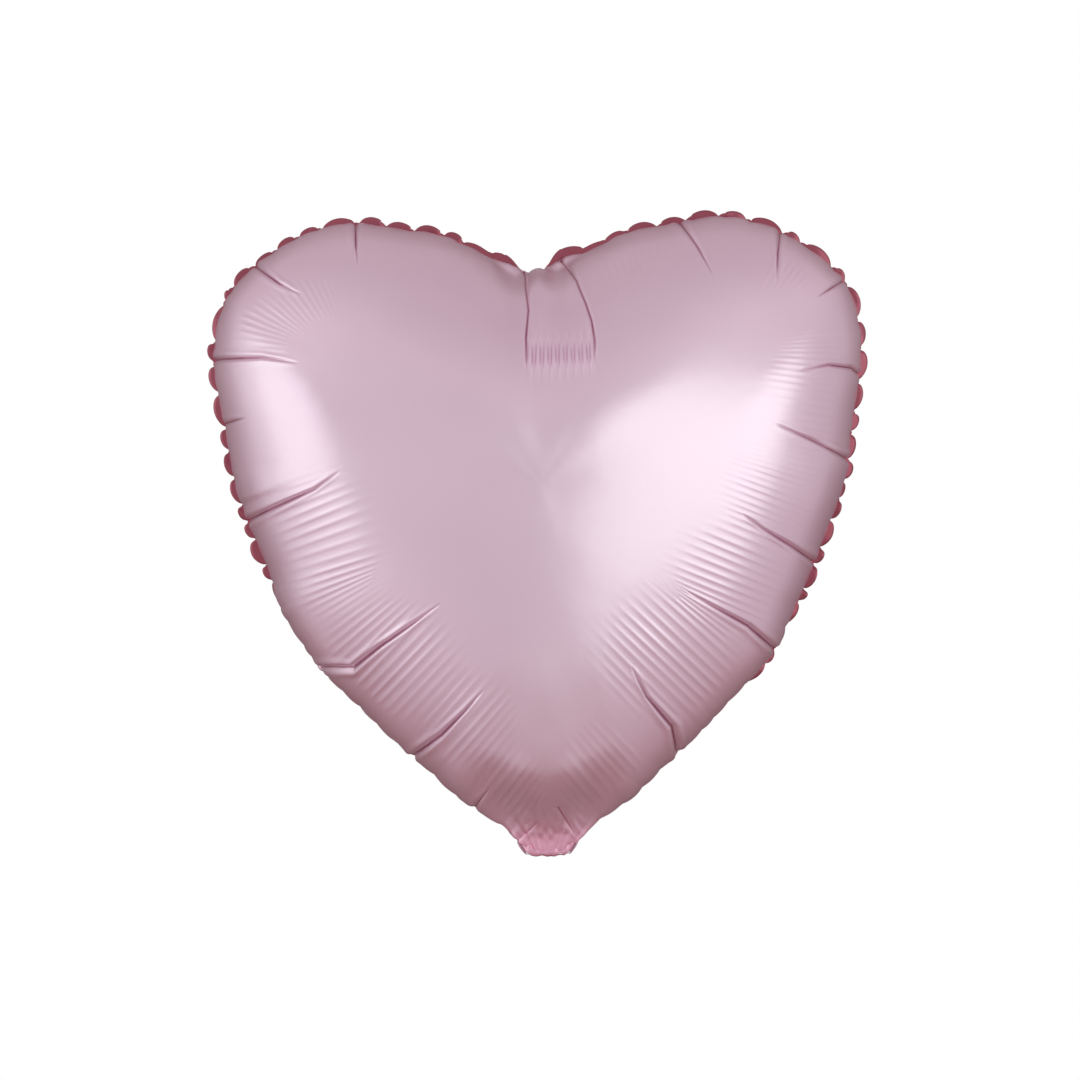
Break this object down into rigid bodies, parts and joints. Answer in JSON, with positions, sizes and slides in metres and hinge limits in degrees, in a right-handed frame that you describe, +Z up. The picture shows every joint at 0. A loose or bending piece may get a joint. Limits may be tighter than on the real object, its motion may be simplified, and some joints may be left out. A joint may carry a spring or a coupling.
{
  "type": "heart-shaped foil balloon",
  "caption": "Inflated heart-shaped foil balloon with a welded scalloped edge, a flat one-way filling valve and a filling tail folded up behind the tip.",
  "frame": {"origin": "centre of the neck's fold line at the tip of the heart, where a ribbon is tied", "axes": "+Z up from the tip to the notch, -Y out of the front panel's crown, +X to the right seen from the front"},
  "size_m": [0.3614, 0.214, 0.3553],
  "materials": {
    "satin_film": "satin metallised film, pastel pink",
    "seam_film": "glossy metallised film, deeper pink where the plies are welded",
    "valve_film": "clear thin polyethylene strip",
    "release_print": "matt heat-resistant print"
  },
  "bodies": {
    "envelope": {"front_panel": "satin_film", "rear_panel": "satin_film", "seam_band": "seam_film", "valve_front_film": "valve_film", "valve_rear_film_neck": "valve_film", "valve_release_print": "release_print"},
    "valve_flap": {"valve_rear_film": "valve_film"},
    "tail": {"tail_rear_leaf": "seam_film", "valve_inlet_sleeve": "valve_film"},
    "tail_mouth": {"tail_front_leaf": "seam_film"}
  },
  "joints": [
    {"name": "tail_fold", "type": "hinge", "parent": "envelope", "child": "tail", "pos_m": [0, 0, 0], "axis": [-1, 0, 0], "range_deg": [0, 200]},
    {"name": "tail_mouth_open", "type": "hinge", "parent": "tail", "child": "tail_mouth", "pos_m": [0, 0.00262, 0.00051], "axis": [-1, 0, 0], "range_deg": [0, 12], "stiffness_Nm_per_rad": 0.01},
    {"name": "valve_flap_open", "type": "hinge", "parent": "envelope", "child": "valve_flap", "pos_m": [0, 0.00017, 0.0145], "axis": [-1, 0, 0], "range_deg": [0, 6], "stiffness_Nm_per_rad": 0.01}
  ]
}
